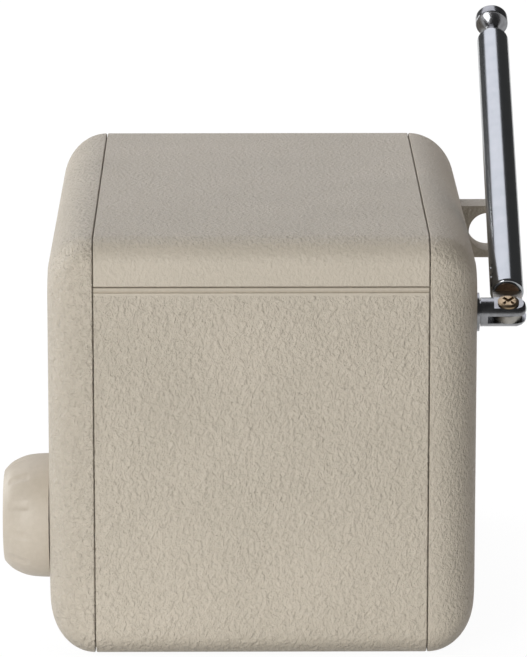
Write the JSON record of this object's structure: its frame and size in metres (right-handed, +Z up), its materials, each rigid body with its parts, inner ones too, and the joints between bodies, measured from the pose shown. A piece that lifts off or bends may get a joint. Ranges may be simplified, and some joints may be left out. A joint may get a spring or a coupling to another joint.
{
  "type": "tabletop radio",
  "caption": "Small beige tabletop radio: rounded leather-grained case, front grille, dial and tuning knob, hinged battery door, and a folding telescopic rod antenna with a clip at the rear.",
  "frame": {"origin": "on the surface the feet stand on, under the centre of the whole object", "axes": "+Z up, -Y towards the listener (front), +X to the listener's right"},
  "size_m": [0.126, 0.1103, 0.12],
  "materials": {
    "case_abs": "leather-grained ABS, beige",
    "control_abs": "fine satin ABS, beige",
    "foot_rubber": "matt moulded rubber",
    "grille_metal": "powder-coated punched steel",
    "speaker_cloth": "woven acoustic cloth",
    "drive_cord": "braided cord",
    "paper_cone": "pressed paper",
    "stamped_steel": "zinc-plated stamped steel",
    "black_steel": "blackened steel",
    "ferrite": "sintered ferrite",
    "copper_wire": "enamelled copper winding",
    "chrome_tube": "bright chrome plate",
    "brass": "turned brass",
    "dial_card": "printed plate",
    "pointer_red": "moulded red",
    "clear_acrylic": "clear acrylic",
    "white_nylon": "moulded nylon",
    "black_nylon": "moulded nylon, black",
    "circuit_board": "solder-masked laminate",
    "board_parts": "moulded components",
    "cell_sleeve": "plain sleeved cells",
    "lead_pvc": "PVC insulation"
  },
  "bodies": {
    "case": {"upper_shell": "case_abs", "lower_shell": "case_abs", "front_frame": "case_abs", "rear_cover": "case_abs", "antenna_clip": "case_abs", "dial_bezel": "control_abs", "feet": "foot_rubber", "speaker_grille": "grille_metal", "speaker_cloth": "speaker_cloth", "dial_cord": "drive_cord", "speaker_basket": "stamped_steel", "speaker_top_plate": "stamped_steel", "speaker_yoke": "stamped_steel", "tuner_chassis": "stamped_steel", "power_inlet": "stamped_steel", "inner_screws": "stamped_steel", "case_screws": "black_steel", "antenna_bush": "black_steel", "speaker_magnet": "ferrite", "ferrite_bar": "ferrite", "ferrite_coil": "copper_wire", "tuning_bush": "brass", "battery_contacts": "brass", "dial_plate": "dial_card", "dial_lens": "clear_acrylic", "indicator_lens": "clear_acrylic", "tuning_capacitor": "white_nylon", "battery_tray": "black_nylon", "headphone_jack": "black_nylon", "band_switch": "black_nylon", "button_switches": "black_nylon", "main_board": "circuit_board", "button_board": "circuit_board", "board_parts": "board_parts", "batteries": "cell_sleeve", "leads": "lead_pvc"},
    "knob": {"tuning_knob": "control_abs", "tuning_shaft": "brass", "drive_pulley": "white_nylon"},
    "pointer": {"dial_pointer": "pointer_red", "dial_shaft": "stamped_steel", "dial_drum": "white_nylon"},
    "power": {"power_button": "control_abs"},
    "volume_down": {"volume_down_button": "control_abs"},
    "volume_up": {"volume_up_button": "control_abs"},
    "slider": {"band_slider": "black_nylon"},
    "door": {"battery_door": "case_abs"},
    "cone": {"speaker_cone": "paper_cone", "dust_cap": "paper_cone", "speaker_surround": "foot_rubber", "voice_coil": "copper_wire"},
    "swivel": {"antenna_stub": "chrome_tube", "hinge_screw": "brass"},
    "fold": {"antenna_foot": "brass", "antenna_tube_outer": "chrome_tube"},
    "second_tube": {"antenna_tube_second": "chrome_tube"},
    "third_tube": {"antenna_tube_third": "chrome_tube"},
    "fourth_tube": {"antenna_tube_fourth": "chrome_tube"},
    "inner_rod": {"antenna_rod_inner": "chrome_tube", "antenna_tip": "chrome_tube"}
  },
  "joints": [
    {"name": "tune", "type": "hinge", "parent": "case", "child": "knob", "pos_m": [0.0387, -0.0442, 0.0253], "axis": [0, 1, 0], "range_deg": [-270, 270]},
    {"name": "dial", "type": "hinge", "parent": "case", "child": "pointer", "pos_m": [0.0387, -0.031, 0.061], "axis": [0, 1, 0], "range_deg": [-90, 90]},
    {"name": "power_press", "type": "slide", "parent": "case", "child": "power", "axis": [0, 1, 0], "range_m": [0, 0.001], "stiffness_N_per_m": 400},
    {"name": "volume_down_press", "type": "slide", "parent": "case", "child": "volume_down", "axis": [0, 1, 0], "range_m": [0, 0.001], "stiffness_N_per_m": 400},
    {"name": "volume_up_press", "type": "slide", "parent": "case", "child": "volume_up", "axis": [0, 1, 0], "range_m": [0, 0.001], "stiffness_N_per_m": 400},
    {"name": "band_slide", "type": "slide", "parent": "case", "child": "slider", "axis": [1, 0, 0], "range_m": [0, 0.004]},
    {"name": "door_hinge", "type": "hinge", "parent": "case", "child": "door", "pos_m": [-0.014, 0.0426, 0.0222], "axis": [-1, 0, 0], "range_deg": [0, 90]},
    {"name": "cone_travel", "type": "slide", "parent": "case", "child": "cone", "axis": [0, 1, 0], "range_m": [-0.0004, 0.0004], "stiffness_N_per_m": 1500},
    {"name": "antenna_swivel", "type": "hinge", "parent": "case", "child": "swivel", "pos_m": [0.0495, 0.0442, 0.0714], "axis": [0, 1, 0], "range_deg": [-13, 157.7]},
    {"name": "antenna_fold", "type": "hinge", "parent": "swivel", "child": "fold", "pos_m": [0.0495, 0.0508, 0.0714], "axis": [-0.4067, 0, -0.9135], "range_deg": [0, 179]},
    {"name": "second_tube_slide", "type": "slide", "parent": "fold", "child": "second_tube", "axis": [-0.9134, 0.0157, 0.4067], "range_m": [0, 0.08]},
    {"name": "third_tube_slide", "type": "slide", "parent": "second_tube", "child": "third_tube", "axis": [-0.9134, 0.0157, 0.4067], "range_m": [0, 0.08]},
    {"name": "fourth_tube_slide", "type": "slide", "parent": "third_tube", "child": "fourth_tube", "axis": [-0.9134, 0.0157, 0.4067], "range_m": [0, 0.08]},
    {"name": "inner_rod_slide", "type": "slide", "parent": "fourth_tube", "child": "inner_rod", "axis": [-0.9134, 0.0157, 0.4067], "range_m": [0, 0.08]}
  ],
  "couplings": [
    {"joint": "dial", "follows": "tune", "ratio": 0.33333}
  ]
}
